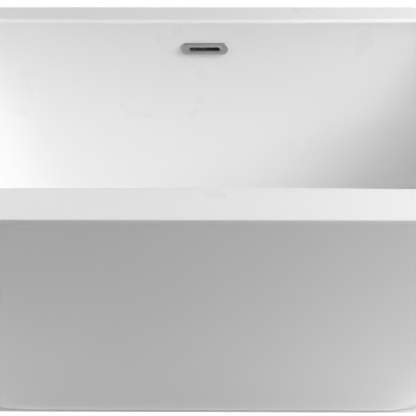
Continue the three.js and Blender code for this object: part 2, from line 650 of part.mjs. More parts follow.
const plungerGeometry = () => turned([
  [0, PLUNGER.low], [PLUNGER.head, PLUNGER.low], [PLUNGER.head, PLUNGER.low + PLUNGER.thick],
  [PLUNGER.radius, PLUNGER.low + PLUNGER.thick], [PLUNGER.radius, STOPPER.hubZ - GAP],
  [0, STOPPER.hubZ - GAP],
], 16);

// The cartridge's barrel, screwed over the pin of the cross.
const barrelGeometry = () => cut(
  turned([
    [0, BARREL.low], [BARREL.outer, BARREL.low], [BARREL.outer, BARREL.high],
    [BARREL.mouth, BARREL.high], [BARREL.mouth, BARREL.high - 1], [BARREL.inner, BARREL.high - 1],
    [BARREL.inner, BARREL.floor], [0, BARREL.floor],
  ], 16),
  rod(CROSS.pin + GAP, BARREL.low - 1, CROSS.pinTop + GAP, 12));

class Helix extends THREE.Curve {
  constructor(radius, low, high, turns) {
    super();
    Object.assign(this, { radius, low, high, turns });
  }

  getPoint(t, target = new THREE.Vector3()) {
    const angle = 2 * Math.PI * this.turns * t;
    return target.set(
      this.radius * Math.cos(angle), this.radius * Math.sin(angle), this.low + (this.high - this.low) * t);
  }
}

// The spring under the plunger's head, at its length with the stopper up.
function springGeometry() {
  const low = BARREL.floor + GAP + SPRING.wire;
  const high = PLUNGER.low + STOPPER.lift - GAP - SPRING.wire;
  const section = new THREE.Shape().absarc(0, 0, SPRING.wire, 0, 2 * Math.PI);
  return new THREE.ExtrudeGeometry(section, {
    steps: 12 * SPRING.turns, curveSegments: SPRING.sides / 2,
    extrudePath: new Helix(SPRING.radius, low, high, SPRING.turns),
  });
}

function drain() {
  const washerUnder = BACKING_Z - GAP;
  const tailWasher = TEE.low - GAP - WASHER_THICK;
  const hoseNut = unionNutGeometry(SPIGOT.outer, HOSE.outer).rotateX(Math.PI / 2);
  const fixed = group([0, DRAIN_Y, 0],
    part('drain_flange', drainFlangeGeometry(), brushedMetal()),
    part('drain_seal',
      washer(SEAL.inner, SEAL.outer, SEAT_Z + GAP, SEAT_Z + GAP + SEAL.thick, 24), blackRubber()),
    part('drain_washer', washer(SEAL.inner, TEE.flange, washerUnder - WASHER_THICK, washerUnder),
      blackRubber()),
    part('drain_body', drainBodyGeometry(), greyPlastic()),
    part('drain_hose_nut', hoseNut, greyPlastic(), [0, TEE.inletEnd + UNION_LIP + GAP, TEE.inletZ]),
    part('tailpiece', washer(TAIL.inner, TAIL.outer, TAIL.low, TAIL.high, 24), greyPlastic()),
    part('tailpiece_washer',
      washer(TAIL.outer + GAP, TEE.outlet - 1, tailWasher, TEE.low - GAP), blackRubber()),
    part('tailpiece_nut', unionNutGeometry(TEE.outlet, TAIL.outer), greyPlastic(),
      [0, 0, tailWasher - GAP - UNION_LIP]),
    part('stopper_barrel', barrelGeometry(), brass()),
    part('stopper_spring', springGeometry(), zincSteel()));
  const raised = group([0, DRAIN_Y, STOPPER.lift],
    part('stopper_cap', stopperCapGeometry(), brushedMetal()),
    part('stopper_seal', stopperSealGeometry(), blackRubber()),
    part('stopper_plunger', plungerGeometry(), brass()));
  return [fixed, raised];
}

// ---------------------------------------------------------------- the tub

function shells() {
  return [
    part('basin', cut(basinGeometry(), onWall(wallHole())), acrylic()),
    part('basin_backing', cut(basinBackingGeometry(), onWall(wallHole())), fibreglass()),
    part('outer_skirt', skirtGeometry(), acrylic()),
    part('skirt_backing', skirtBackingGeometry(), fibreglass()),
  ];
}

export default group([0, 0, 0], ...shells(), ...frame(), ...overflow(), ...drain());
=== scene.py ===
"""Looks for the freestanding bathtub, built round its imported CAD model. All sizes are in metres."""

import json
import math

import bmesh
import bpy
from mathutils import Matrix, Vector


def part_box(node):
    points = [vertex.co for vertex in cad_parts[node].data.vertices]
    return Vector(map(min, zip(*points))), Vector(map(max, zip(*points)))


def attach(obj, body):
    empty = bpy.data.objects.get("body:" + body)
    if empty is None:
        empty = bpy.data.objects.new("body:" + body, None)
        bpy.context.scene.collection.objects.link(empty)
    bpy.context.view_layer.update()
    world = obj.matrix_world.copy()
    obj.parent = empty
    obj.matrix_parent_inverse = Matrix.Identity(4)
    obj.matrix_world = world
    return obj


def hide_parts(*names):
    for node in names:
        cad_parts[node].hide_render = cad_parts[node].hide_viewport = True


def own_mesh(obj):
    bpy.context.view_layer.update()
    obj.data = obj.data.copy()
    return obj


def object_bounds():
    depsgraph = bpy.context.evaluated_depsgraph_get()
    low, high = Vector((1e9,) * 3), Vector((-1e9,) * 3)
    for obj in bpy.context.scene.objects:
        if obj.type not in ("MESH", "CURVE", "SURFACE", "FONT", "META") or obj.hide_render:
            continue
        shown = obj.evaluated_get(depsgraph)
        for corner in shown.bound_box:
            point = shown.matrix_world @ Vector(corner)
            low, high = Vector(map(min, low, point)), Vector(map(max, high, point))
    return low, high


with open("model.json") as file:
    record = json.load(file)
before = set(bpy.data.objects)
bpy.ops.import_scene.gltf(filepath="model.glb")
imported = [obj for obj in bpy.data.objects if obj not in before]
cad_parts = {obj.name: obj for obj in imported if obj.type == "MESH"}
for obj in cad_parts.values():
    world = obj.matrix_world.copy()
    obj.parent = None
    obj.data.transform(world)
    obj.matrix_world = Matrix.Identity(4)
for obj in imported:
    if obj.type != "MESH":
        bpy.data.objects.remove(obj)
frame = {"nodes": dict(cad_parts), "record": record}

CAD_LOW, CAD_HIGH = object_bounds()
BODY = "tub"

# ---------------------------------------------------------------- sizes, the same as the CAD model's

LENGTH, WIDTH, HEIGHT = CAD_HIGH - CAD_LOW
RIM_WIDTH, LIP, RIM_EDGE, RIM_WAIST = 0.074, 0.008, 0.0025, 0.005
DECK, ACRYLIC, FIBREGLASS, SKIRT_BACKING, GAP = 0.008, 0.005, 0.004, 0.003, 0.0003
WALL_DEPTH, FLOOR_DEPTH, FLOOR_FALL, END_RISE, WALL_EASE = 0.390, 0.405, 0.010, 0.025, 1.2
SKIRT_BOTTOM, SKIRT_EDGE, SKIRT_FLANGE = 0.003, 0.004, 0.024

END_STEPS, SIDE_STEPS = 72, 24          # points round each end and along each side
RING_POINTS = 2 * (END_STEPS + SIDE_STEPS)
ROUND_STEPS = 96                        # points round a turned piece


def middle_of(node):
    low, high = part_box(node)
    return (low + high) / 2


DRAIN = middle_of("drain_flange")


# ---------------------------------------------------------------- plans and rings

def grow(plan, by):
    """A plan is (half length, half width, length of each round end)."""
    return tuple(size + by for size in plan)


def mix(plan, other, t):
    return tuple(a + (b - a) * t for a, b in zip(plan, other))


RIM_PLAN = (LENGTH / 2, WIDTH / 2, WIDTH / 2)
OPENING_PLAN = grow(RIM_PLAN, -RIM_WIDTH)
WALL_FOOT_PLAN = (0.640, 0.193, 0.290)
FLOOR_PLAN = (0.618, 0.173, 0.268)
BED_PLAN = (0.450, 0.162, 0.130)
BASE_PLAN = (0.700, 0.315, 0.330)


def ring(plan, z, waist=0.0, rise=0.0):
    """A plan's points at one height, counter-clockwise. waist bows the long sides in, rise lifts the ends."""
    half_length, half_width, end = plan
    run = half_length - end
    points = []

    def lifted(x, y):
        points.append((x, y, z + rise * (x / OPENING_PLAN[0]) ** 2))

    for side in (1, -1):
        for i in range(END_STEPS):
            angle = math.pi * (i / END_STEPS - 0.5)
            lifted(side * (run + end * math.cos(angle)), side * half_width * math.sin(angle))
        for i in range(SIDE_STEPS):
            along = 1 - 2 * i / SIDE_STEPS
            lifted(side * run * along, side * (half_width - waist * (1 - along * along)))
    return points


def drain_ring(radius, z):
    """A circle about the drain with as many points as a ring."""
    first = -math.pi * END_STEPS / RING_POINTS
    points = []
    for i in range(RING_POINTS):
        angle = first + 2 * math.pi * i / RING_POINTS
        points.append((radius * math.cos(angle), DRAIN.y + radius * math.sin(angle), z))
    return points


def mix_rings(inner, outer, t):
    return [tuple(a + (b - a) * t for a, b in zip(p, q)) for p, q in zip(inner, outer)]


# ---------------------------------------------------------------- meshes

def mesh_object(name, points, faces, look, sharp_deg=35):
    """A smooth-shaded object at the origin, with creases where faces meet at more than sharp_deg."""
    mesh = bpy.data.meshes.new(name)
    mesh.from_pydata([tuple(p) for p in points], [], faces)
    work = bmesh.new()
    work.from_mesh(mesh)
    bmesh.ops.remove_doubles(work, verts=work.verts, dist=1e-7)
    bmesh.ops.recalc_face_normals(work, faces=work.faces)
    work.to_mesh(mesh)
    work.free()
    mesh.shade_smooth()
    mesh.set_sharp_from_angle(angle=math.radians(sharp_deg))
    obj = bpy.data.objects.new(name, mesh)
    bpy.context.scene.collection.objects.link(obj)
    mesh.materials.append(look)
    return obj


def loft_faces(count, points_each, closed=True):
    faces = []
    for k in range(count if closed else count - 1):
        for i in range(points_each):
            j, n = (i + 1) % points_each, (k + 1) % count
            faces.append((k * points_each + i, k * points_each + j, n * points_each + j, n * points_each + i))
    return faces


def loft(name, rings, look, **options):
    """Joins rings of equal point counts into one closed shell: the last ring joins the first."""
    points = [p for points in rings for p in points]
    return mesh_object(name, points, loft_faces(len(rings), len(rings[0])), look, **options)


def placed(points, matrix):
    return [matrix @ Vector(p) for p in points]


def rounded(profile, radius, steps=3):
    """A closed profile of (r, z) points with each corner off the axis rounded."""
    out = []
    count = len(profile)
    for i, here in enumerate(profile):
        here = Vector(here)
        if here.x < 1e-6:
            out.append(here)
            continue
        back = Vector(profile[i - 1]) - here
        ahead = Vector(profile[(i + 1) % count]) - here
        reach = min(radius, 0.45 * back.length, 0.45 * ahead.length)
        start, end = here + back.normalized() * reach, here + ahead.normalized() * reach
        for k in range(steps + 1):
            t = k / steps
            out.append(start * (1 - t) ** 2 + here * (2 * t * (1 - t)) + end * t * t)
    return out


def turned(name, profile, look, centre=(0, 0, 0), matrix=None, radius=0.0004, steps=ROUND_STEPS, **options):
    """Turns a profile of (r, z) points about Z. It closes on itself, or starts and ends on the axis."""
    outline = rounded(profile, radius)
    matrix = matrix or Matrix.Translation(Vector(centre))
    points, faces = [], []
    for r, z in outline:
        if r < 1e-6:
            points.append(matrix @ Vector((0, 0, z)))
            faces.append(None)
            continue
        faces.append(len(points))
        for i in range(steps):
            angle = 2 * math.pi * i / steps
            points.append(matrix @ Vector((r * math.cos(angle), r * math.sin(angle), z)))
    starts, starts_at = [], 0
    for r, _ in outline:
        starts.append((starts_at, r < 1e-6))
        starts_at += 1 if r < 1e-6 else steps
    quads = []
    for k in range(len(outline)):
        (a, a_point), (b, b_point) = starts[k], starts[(k + 1) % len(outline)]
        if a_point and b_point:
            continue
        for i in range(steps):
            j = (i + 1) % steps
            if a_point:
                quads.append((a, b + j, b + i))
            elif b_point:
                quads.append((a + i, a + j, b))
            else:
                quads.append((a + i, a + j, b + j, b + i))
    return mesh_object(name, points, quads, look, **options)


def show(obj, slot, body=BODY, *nodes):
    """Puts a piece on its body, in place of the CAD nodes that it stands for."""
    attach(obj, body)
    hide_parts(*(nodes or (obj.name.removesuffix("_skin"),)))
    return obj


# ---------------------------------------------------------------- materials

class Look:
    """A node material under construction: a Principled surface with helpers for its detail."""

    def __init__(self, name, color, roughness, metallic=0.0, **sockets):
        self.material = bpy.data.materials.new(name)
        self.material.use_nodes = True
        self.nodes, self.links = self.material.node_tree.nodes, self.material.node_tree.links
        self.surface = self.nodes["Principled BSDF"]
        self.surface.inputs["Base Color"].default_value = (*color, 1)
        self.surface.inputs["Roughness"].default_value = roughness
        self.surface.inputs["Metallic"].default_value = metallic
        for socket, value in sockets.items():
            self.surface.inputs[socket.replace("_", " ")].default_value = value
        self.coordinates = self.nodes.new("ShaderNodeTexCoord").outputs["Object"]
        self.height = None

    def stretched(self, scale):
        mapping = self.nodes.new("ShaderNodeMapping")
        mapping.inputs["Scale"].default_value = scale
        self.links.new(self.coordinates, mapping.inputs["Vector"])
        return mapping.outputs["Vector"]

    def noise(self, scale, detail=3.0, stretch=None, distortion=0.0):
        node = self.nodes.new("ShaderNodeTexNoise")
        node.inputs["Scale"].default_value = scale
        node.inputs["Detail"].default_value = detail
        node.inputs["Distortion"].default_value = distortion
        self.links.new(self.stretched(stretch) if stretch else self.coordinates, node.inputs["Vector"])
        return node.outputs["Fac"]

    def cell_colors(self, scale):
        node = self.nodes.new("ShaderNodeTexVoronoi")
        node.inputs["Scale"].default_value = scale
        self.links.new(self.coordinates, node.inputs["Vector"])
        return node.outputs["Color"]

    def spread(self, value, low, high, start=0.3, end=0.7):
        node = self.nodes.new("ShaderNodeMapRange")
        node.inputs["From Min"].default_value, node.inputs["From Max"].default_value = start, end
        node.inputs["To Min"].default_value, node.inputs["To Max"].default_value = low, high
        self.links.new(value, node.inputs["Value"])
        return node.outputs["Result"]

    def tint(self, value, dark, light, start=0.3, end=0.7):
        node = self.nodes.new("ShaderNodeMix")
        node.data_type = "RGBA"
        self.links.new(self.spread(value, 0, 1, start, end), node.inputs["Factor"])
        node.inputs["A"].default_value, node.inputs["B"].default_value = (*dark, 1), (*light, 1)
        self.links.new(node.outputs["Result"], self.surface.inputs["Base Color"])

    def shine(self, value, low, high, start=0.3, end=0.7):
        self.links.new(self.spread(value, low, high, start, end), self.surface.inputs["Roughness"])

    def relief(self, value, depth, strength=1.0):
        """Adds one layer of bump, depth metres deep."""
        node = self.nodes.new("ShaderNodeBump")
        node.inputs["Strength"].default_value = strength
        node.inputs["Distance"].default_value = depth
        self.links.new(value, node.inputs["Height"])
        if self.height:
            self.links.new(self.height, node.inputs["Normal"])
        self.height = node.outputs["Normal"]
        self.links.new(self.height, self.surface.inputs["Normal"])


def white_acrylic():
    """Glossy cast sheet, with a faint long-wave ripple and a finer orange peel."""
    look = Look("white_acrylic", (0.885, 0.885, 0.885), 0.3, IOR=1.38)
    look.tint(look.noise(3.0, 2), (0.875, 0.875, 0.875), (0.895, 0.895, 0.895))
    look.shine(look.noise(9.0, 4), 0.27, 0.34)
    look.relief(look.noise(14.0, 1), 0.0006, 0.05)
    look.relief(look.noise(260.0, 2), 0.00008, 0.05)
    return look.material


def shaded_satin_acrylic():
    """The outer shell: the same sheet with a satin, very finely grained face, its grey darker than the
    basin's white as painted shade.
    """
    # Painted shade: the base colour and its tint are darker than the basin's, for the shade on the outer
    # shell.
    look = Look("shaded_satin_acrylic", (0.78, 0.78, 0.78), 0.42, IOR=1.49)
    look.tint(look.noise(3.0, 2), (0.77, 0.77, 0.77), (0.79, 0.79, 0.79))
    look.shine(look.noise(9.0, 4), 0.38, 0.48)
    look.relief(look.noise(260.0, 2), 0.00008, 0.1)
    return look.material


def brushed_nickel():
    look = Look("brushed_nickel", (0.56, 0.56, 0.555), 0.3, 1.0)
    grain = look.noise(900.0, 3, stretch=(0.03, 1, 1))
    look.tint(look.noise(500.0, 2, stretch=(0.05, 1, 1)), (0.48, 0.48, 0.475), (0.56, 0.56, 0.555))
    look.shine(grain, 0.34, 0.48)
    look.relief(grain, 0.00004, 0.35)
    return look.material


def turned_nickel():
    look = Look("turned_nickel", (0.58, 0.58, 0.575), 0.26, 1.0)
    look.tint(look.noise(300.0, 3), (0.55, 0.55, 0.545), (0.62, 0.62, 0.615))
    look.shine(look.noise(1200.0, 2), 0.18, 0.34)
    look.relief(look.noise(1800.0, 2), 0.00002, 0.3)
    return look.material


def fibreglass():
    """Sprayed resin over chopped strands, pale green-yellow, with a rough hand-rolled surface."""
    look = Look("fibreglass", (0.72, 0.74, 0.60), 0.55)
    strands = look.noise(120.0, 6, stretch=(1, 0.25, 1), distortion=3.0)
    crossing = look.noise(130.0, 6, stretch=(0.25, 1, 1), distortion=3.0)
    look.tint(strands, (0.60, 0.62, 0.47), (0.80, 0.81, 0.70))
    look.shine(look.noise(30.0, 4), 0.35, 0.75)
    look.relief(look.noise(22.0, 3), 0.002, 0.5)
    look.relief(strands, 0.0008, 0.5)
    look.relief(crossing, 0.0008, 0.5)
    return look.material


def plywood():
    look = Look("plywood", (0.62, 0.45, 0.27), 0.6)
    grain = look.noise(60.0, 6, stretch=(0.12, 1, 0.4), distortion=1.5)
    look.tint(grain, (0.42, 0.28, 0.15), (0.70, 0.52, 0.32), 0.35, 0.65)
    look.shine(look.noise(90.0, 3), 0.45, 0.75)
    look.relief(grain, 0.0004, 0.5)
    return look.material


def galvanized():
    """Hot-dip zinc, with its spangle of crystals."""
    look = Look("galvanized", (0.55, 0.57, 0.58), 0.45, 0.85)
    spangle = look.cell_colors(110.0)
    look.tint(spangle, (0.42, 0.44, 0.46), (0.62, 0.64, 0.66), 0.1, 0.9)
    look.shine(look.noise(160.0, 3), 0.32, 0.60)
    look.relief(look.noise(400.0, 2), 0.00005, 0.4)
    return look.material


def zinc_steel():
    look = Look("zinc_steel", (0.66, 0.67, 0.68), 0.3, 1.0)
    look.tint(look.noise(200.0, 3), (0.58, 0.58, 0.57), (0.70, 0.71, 0.72))
    look.shine(look.noise(500.0, 3), 0.2, 0.42)
    look.relief(look.noise(900.0, 2), 0.00003, 0.3)
    return look.material


def brass():
    look = Look("brass", (0.72, 0.56, 0.28), 0.3, 1.0)
    look.tint(look.noise(250.0, 3), (0.60, 0.45, 0.20), (0.76, 0.60, 0.32))
    look.shine(look.noise(700.0, 3), 0.2, 0.42)
    look.relief(look.noise(1500.0, 2), 0.00002, 0.3)
    return look.material


def black_rubber():
    look = Look("black_rubber", (0.03, 0.03, 0.03), 0.8)
    look.tint(look.noise(150.0, 4), (0.022, 0.022, 0.022), (0.05, 0.05, 0.05))
    look.shine(look.noise(300.0, 3), 0.65, 0.92)
    look.relief(look.noise(1400.0, 3), 0.0001, 0.5)
    return look.material


def grey_plastic():
    look = Look("grey_plastic", (0.60, 0.61, 0.61), 0.45)
    look.tint(look.noise(40.0, 3), (0.57, 0.58, 0.58), (0.63, 0.64, 0.64))
    look.shine(look.noise(200.0, 3), 0.36, 0.55)
    look.relief(look.noise(1300.0, 2), 0.00006, 0.4)
    return look.material


LOOKS = {make.__name__: make() for make in (
    white_acrylic, shaded_satin_acrylic, brushed_nickel, turned_nickel, fibreglass, plywood, galvanized,
    zinc_steel, brass, black_rubber, grey_plastic)}


# ---------------------------------------------------------------- bath

FLOOR_Z = HEIGHT - FLOOR_DEPTH
DRAIN_Z = FLOOR_Z - FLOOR_FALL
RECESS_DEPTH, RECESS_RADIUS, HOLE_RADIUS = 0.003, 0.037, 0.027
SEAT_Z = DRAIN_Z - RECESS_DEPTH
BACKING_Z = SEAT_Z - ACRYLIC - GAP - FIBREGLASS


def wall_levels(wall_steps, bend_steps):
    """The levels of the bath's inner face: (plan, z, waist, rise, turn), down the wall and to the floor.
    turn is 0 on the wall and a right angle on the floor, and says which way the thickness lies."""
    levels = []
    for i in range(wall_steps + 1):
        t = i / wall_steps
        plan = mix(OPENING_PLAN, WALL_FOOT_PLAN, t ** WALL_EASE)
        z = HEIGHT - LIP - t * (WALL_DEPTH - LIP)
        levels.append((plan, z, RIM_WAIST * (1 - t), END_RISE * t * t, 0.0))
    corner = mix(OPENING_PLAN, WALL_FOOT_PLAN, 1 + WALL_EASE * (FLOOR_DEPTH - WALL_DEPTH) / WALL_DEPTH)
    for i in range(1, bend_steps + 1):
        t = i / bend_steps
        plan = mix(mix(WALL_FOOT_PLAN, corner, t), mix(corner, FLOOR_PLAN, t), t)
        z = HEIGHT - WALL_DEPTH - (FLOOR_DEPTH - WALL_DEPTH) * (1 - (1 - t) ** 2)
        levels.append((plan, z, 0.0, END_RISE, t * math.pi / 2))
    return levels


def level_ring(level, offset=0.0):
    plan, z, waist, rise, turn = level
    return ring(grow(plan, offset * math.cos(turn)), z - offset * math.sin(turn), waist, rise)


def rim_rings():
    """From the underside of the rim round its outer edge, over the rim and down round the lip."""
    rings = [ring(grow(OPENING_PLAN, ACRYLIC), HEIGHT - DECK, RIM_WAIST),
             ring(grow(RIM_PLAN, -0.0006), HEIGHT - DECK),
             ring(RIM_PLAN, HEIGHT - DECK + 0.0006),
             ring(RIM_PLAN, HEIGHT - DECK * 0.6)]
    for i in range(7):
        angle = i / 6 * math.pi / 2
        rings.append(ring(grow(RIM_PLAN, -RIM_EDGE * (1 - math.cos(angle))),
                          HEIGHT - RIM_EDGE * (1 - math.sin(angle))))
    for share in (0.02, 0.35, 0.65, 0.98):
        between = mix(grow(RIM_PLAN, -RIM_EDGE), grow(OPENING_PLAN, LIP), share)
        rings.append(ring(between, HEIGHT, RIM_WAIST * share))
    for i in range(11):
        angle = (1 - i / 10) * math.pi / 2
        rings.append(ring(grow(OPENING_PLAN, LIP * (1 - math.cos(angle))),
                          HEIGHT - LIP * (1 - math.sin(angle)), RIM_WAIST))
    return rings


WALL_SLOT_RUN, WALL_SLOT_RADIUS = 0.0395, 0.0075
WALL_SLOT_FRONT, WALL_SLOT_BACK = -0.020, 0.030      # how far the cutter reaches past the wall


def cut_overflow(obj):
    """Cuts the overflow's opening through the rear wall."""
    shape = [stadium(WALL_SLOT_RUN, WALL_SLOT_RADIUS, y) for y in (WALL_SLOT_FRONT, WALL_SLOT_BACK)]
    points = placed([p for points in shape for p in points], ON_WALL)
    count = len(shape[0])
    faces = loft_faces(2, count, closed=False)
    faces += [tuple(range(count)), tuple(range(2 * count - 1, count - 1, -1))]
    cutter = mesh_object("cutter", points, faces, LOOKS["white_acrylic"])
    cutting = obj.modifiers.new("overflow_opening", "BOOLEAN")
    cutting.operation, cutting.solver, cutting.object = "DIFFERENCE", "EXACT", cutter
    apply_modifiers(obj)
    bpy.data.objects.remove(cutter)


def apply_modifiers(obj):
    """Makes the modified mesh the object's own, and creases it again where the cut left edges."""
    graph = bpy.context.evaluated_depsgraph_get()
    mesh = bpy.data.meshes.new_from_object(obj.evaluated_get(graph))
    obj.modifiers.clear()
    old, obj.data = obj.data, mesh
    bpy.data.meshes.remove(old)
    mesh.set_sharp_from_angle(angle=math.radians(40))


def basin():
    levels = wall_levels(44, 18)
    under = [level_ring(level, ACRYLIC) for level in reversed(levels[1:])]
    inside = [level_ring(level) for level in levels[1:]]
    recess = drain_ring(RECESS_RADIUS, DRAIN_Z)
    floor = [mix_rings(inside[-1], recess, i / 12) for i in range(1, 12)]
    obj = loft("basin_skin", [
        drain_ring(HOLE_RADIUS, SEAT_Z - ACRYLIC), drain_ring(RECESS_RADIUS + ACRYLIC, SEAT_Z - ACRYLIC),
        *under, *rim_rings(), *inside, *floor, recess,
        drain_ring(RECESS_RADIUS - 0.0004, DRAIN_Z - 0.0008), drain_ring(RECESS_RADIUS - 0.001, SEAT_Z),
        drain_ring(HOLE_RADIUS, SEAT_Z)], LOOKS["white_acrylic"], sharp_deg=50)
    cut_overflow(obj)
    return show(obj, "white_acrylic")


def basin_backing():
    levels = wall_levels(30, 14)
    inner, outer = ACRYLIC + GAP, ACRYLIC + GAP + FIBREGLASS
    top = HEIGHT - DECK - GAP
    under = [level_ring(level, outer) for level in reversed(levels[1:])]
    inside = [level_ring(level, inner) for level in levels[1:]]
    obj = loft("basin_backing_skin", [
        drain_ring(HOLE_RADIUS, BACKING_Z), ring(BED_PLAN, BACKING_Z), *under,
        ring(grow(OPENING_PLAN, outer), top, RIM_WAIST), ring(grow(OPENING_PLAN, inner), top, RIM_WAIST),
        *inside, drain_ring(RECESS_RADIUS + inner, SEAT_Z - inner), drain_ring(HOLE_RADIUS, SEAT_Z - inner),
    ], LOOKS["fibreglass"])
    cut_overflow(obj)
    return show(obj, "fibreglass")


# ---------------------------------------------------------------- skirt

SKIRT_TOP = HEIGHT - DECK - GAP


def skirt_ring(z, inset=0.0):
    share = (z - SKIRT_BOTTOM) / (HEIGHT - SKIRT_BOTTOM)
    return ring(grow(mix(BASE_PLAN, RIM_PLAN, share), -inset), z)


def heights(low, high, steps):
    return [low + (high - low) * i / steps for i in range(steps + 1)]


def outer_skirt():
    low, high = SKIRT_BOTTOM, SKIRT_TOP
    edge = []
    for i in range(7):
        angle = i / 6 * math.pi / 2
        edge.append(skirt_ring(low + SKIRT_EDGE * (1 - math.cos(angle)), SKIRT_EDGE * (1 - math.sin(angle))))
    face = [skirt_ring(z) for z in heights(low + SKIRT_EDGE, high - 0.0006, 30)[1:]]
    back = [skirt_ring(z, ACRYLIC) for z in heights(high - ACRYLIC, low + ACRYLIC, 30)]
    # The outer shell takes the darker acrylic, which paints shade on it.
    obj = loft("outer_skirt_skin", [
        *edge, *face, skirt_ring(high, 0.0006), skirt_ring(high, SKIRT_FLANGE),
        skirt_ring(high - ACRYLIC, SKIRT_FLANGE), *back,
        skirt_ring(low + ACRYLIC, SKIRT_FLANGE), skirt_ring(low, SKIRT_FLANGE)], LOOKS["shaded_satin_acrylic"])
    return show(obj, "white_acrylic")


def skirt_backing():
    low, high = SKIRT_BOTTOM + ACRYLIC + GAP, SKIRT_TOP - ACRYLIC - GAP
    outer, inner = ACRYLIC + GAP, ACRYLIC + GAP + SKIRT_BACKING
    obj = loft("skirt_backing_skin", [
        *[skirt_ring(z, outer) for z in heights(low, high, 24)],
        *[skirt_ring(z, inner) for z in heights(high, low, 24)]], LOOKS["fibreglass"])
    return show(obj, "fibreglass")


# ---------------------------------------------------------------- overflow

OVERFLOW_DEPTH, OVERFLOW_BAND = 0.062, 0.030
OVERFLOW_Z = HEIGHT - OVERFLOW_DEPTH


def rear_wall(z):
    """How far back the middle of the rear wall is at a height."""
    t = (HEIGHT - LIP - z) / (WALL_DEPTH - LIP)
    return mix(OPENING_PLAN, WALL_FOOT_PLAN, t ** WALL_EASE)[1] - RIM_WAIST * (1 - t)


BAND_TOP, BAND_FOOT = (rear_wall(OVERFLOW_Z + side * OVERFLOW_BAND / 2) for side in (1, -1))
OVERFLOW_LEAN = math.atan((BAND_TOP - BAND_FOOT) / OVERFLOW_BAND)
ON_WALL = (Matrix.Translation((0, (BAND_TOP + BAND_FOOT) / 2, OVERFLOW_Z))
           @ Matrix.Rotation(-OVERFLOW_LEAN, 4, "X"))


def stadium(run, radius, y, steps=48):
    """A slot outline in the overflow's frame: X along the tub, Y into the wall, Z up the wall."""
    points = []
    for side in (1, -1):
        for i in range(steps + 1):
            angle = math.pi * (i / steps - 0.5)
            points.append((side * (run + radius * math.cos(angle)), y, side * radius * math.sin(angle)))
        for i in range(1, 8):
            points.append((side * run * (1 - i / 4), y, side * radius))
    return points


COVER_RUN, COVER_RADIUS, COVER_PROUD = 0.041, 0.013, 0.0045
COVER_WALL = 0.0028                                  # thickness of its side wall
COVER_INSIDE, COVER_LIP_BACK = -0.0038, -0.0033      # depths of its inner face and of the slot's lip
SLOT_RUN, SLOT_RADIUS = 0.0311, 0.0039


def overflow_cover():
    """A satin trim with a softly rounded edge, a flat face, and a dished lip that falls into its slot."""
    edge, dish_run, dish_radius, dish_depth = 0.0015, 0.0342, 0.0076, 0.0007
    rings = [(COVER_RUN, COVER_RADIUS, -GAP), (COVER_RUN, COVER_RADIUS, edge - COVER_PROUD)]
    for i in range(1, 9):
        angle = i / 8 * math.pi / 2
        rings.append((COVER_RUN, COVER_RADIUS - edge * (1 - math.cos(angle)),
                      edge * (1 - math.sin(angle)) - COVER_PROUD))
    for i in range(9):
        t = i / 8
        rings.append((dish_run + (SLOT_RUN - dish_run) * t, dish_radius + (SLOT_RADIUS - dish_radius) * t,
                      dish_depth * t * t - COVER_PROUD))
    rings += [(SLOT_RUN, SLOT_RADIUS, COVER_LIP_BACK),
              (SLOT_RUN + 0.001, SLOT_RADIUS + 0.001, COVER_LIP_BACK),
              (COVER_RUN, COVER_RADIUS - COVER_WALL, COVER_INSIDE),
              (COVER_RUN, COVER_RADIUS - COVER_WALL, -GAP)]
    shapes = [placed(stadium(*each), ON_WALL) for each in rings]
    cover = loft("overflow_cover_skin", shapes, LOOKS["brushed_nickel"], sharp_deg=40)
    return show(cover, "brushed_nickel")


# ---------------------------------------------------------------- drain and stopper

FLANGE_Z = SEAT_Z + 2 * GAP + 0.0015
FLANGE_TOP = FLANGE_Z + 0.0024
FLANGE_BORE, FLANGE_TUBE, FLANGE_END, STOPPER_LIFT = 0.022, 0.025, 0.122, 0.009
CROSS_LOW, CROSS_HIGH, CROSS_PIN_TOP, CROSS_BAR = 0.143, 0.147, 0.151, 0.004
CROSS_SPAN, CROSS_BOSS, CROSS_PIN = 0.0445, 0.008, 0.003
ON_DRAIN = Vector((DRAIN.x, DRAIN.y, 0))
LIFTED = ON_DRAIN + Vector((0, 0, STOPPER_LIFT))


def bar(name, size, centre, look, width=0.0005):
    """A box with rounded edges."""
    work = bmesh.new()
    bmesh.ops.create_cube(work, size=1.0)
    bmesh.ops.scale(work, vec=size, verts=work.verts)
    bmesh.ops.translate(work, vec=centre, verts=work.verts)
    bmesh.ops.bevel(work, geom=work.edges, offset=width, segments=3, profile=0.5, affect="EDGES")
    mesh = bpy.data.meshes.new(name)
    work.to_mesh(mesh)
    work.free()
    mesh.shade_smooth()
    mesh.set_sharp_from_angle(angle=math.radians(35))
    mesh.materials.append(look)
    obj = bpy.data.objects.new(name, mesh)
    bpy.context.scene.collection.objects.link(obj)
    return obj


def joined(name, *parts):
    """One object from several."""
    bpy.ops.object.select_all(action="DESELECT")
    for obj in parts:
        obj.select_set(True)
    bpy.context.view_layer.objects.active = parts[0]
    bpy.ops.object.join()
    parts[0].name = name
    return parts[0]


def threaded(inner, outer, low, high, pitch):
    """The points of a ridged run down a tube's outside, from high to low."""
    points = []
    turns = int((high - low) / pitch)
    for i in range(turns):
        z = low + i * pitch
        points += [(inner, z), (outer, z + pitch * 0.5)]
    return points + [(inner, low + turns * pitch)]


